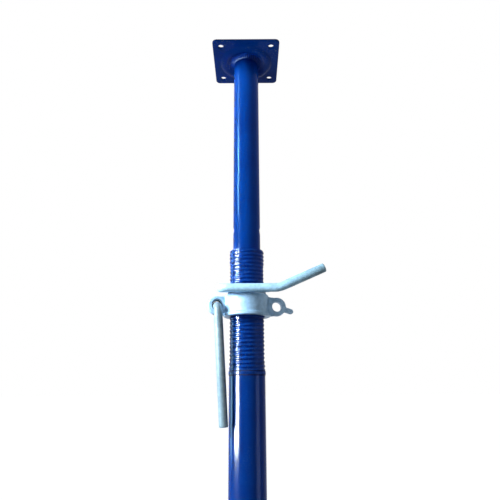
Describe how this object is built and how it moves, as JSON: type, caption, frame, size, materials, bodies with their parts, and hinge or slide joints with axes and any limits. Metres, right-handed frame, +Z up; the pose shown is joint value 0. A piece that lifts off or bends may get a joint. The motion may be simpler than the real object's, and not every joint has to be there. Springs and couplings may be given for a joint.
{
  "type": "adjustable steel prop",
  "caption": "Telescopic steel shoring prop: painted tubes with square end plates, a slotted threaded sleeve, a galvanised cast nut with a swinging handle, and a bent support pin.",
  "frame": {"origin": "middle of the base plate's underside, on the tubes' axis", "axes": "+Z up along the tubes towards the head plate, +X along the support pin's leg towards its free end, -Y towards the side where the pin's outer leg and the handle hang"},
  "size_m": [0.1989, 0.128, 1.2923],
  "materials": {
    "blue_paint": "gloss",
    "blue_paint_thread": "gloss",
    "blue_paint_weld": "gloss",
    "blue_paint_plate": "gloss",
    "galvanised_casting": "satin",
    "galvanised_bar": "satin"
  },
  "bodies": {
    "outer_body": {"outer_tube": "blue_paint", "threaded_sleeve": "blue_paint_thread", "sleeve_weld": "blue_paint_weld", "base_plate": "blue_paint_plate", "base_plate_weld": "blue_paint_weld"},
    "inner_body": {"inner_tube": "blue_paint", "head_plate": "blue_paint_plate", "head_plate_weld": "blue_paint_weld"},
    "nut": {"prop_nut": "galvanised_casting"},
    "handle": {"nut_handle": "galvanised_bar"},
    "pin": {"support_pin": "galvanised_bar"}
  },
  "joints": [
    {"name": "prop_extension", "type": "slide", "parent": "outer_body", "child": "inner_body", "axis": [0, 0, 1], "range_m": [-0.082, 0.036]},
    {"name": "nut_turn", "type": "hinge", "parent": "inner_body", "child": "nut", "pos_m": [0, 0, 0.794], "axis": [0, 0, 1], "range_deg": [-4420, 1945]},
    {"name": "handle_swing", "type": "hinge", "parent": "nut", "child": "handle", "pos_m": [-0.05116, -0.0081, 0.79222], "axis": [-0.1564, 0.9877, 0], "range_deg": [-1.5, 95]},
    {"name": "pin_pull", "type": "slide", "parent": "inner_body", "child": "pin", "axis": [-1, 0, 0], "range_m": [0, 0.075]}
  ],
  "couplings": [
    {"joint": "nut_turn", "follows": "prop_extension", "rad_per_m": 937.79}
  ]
}
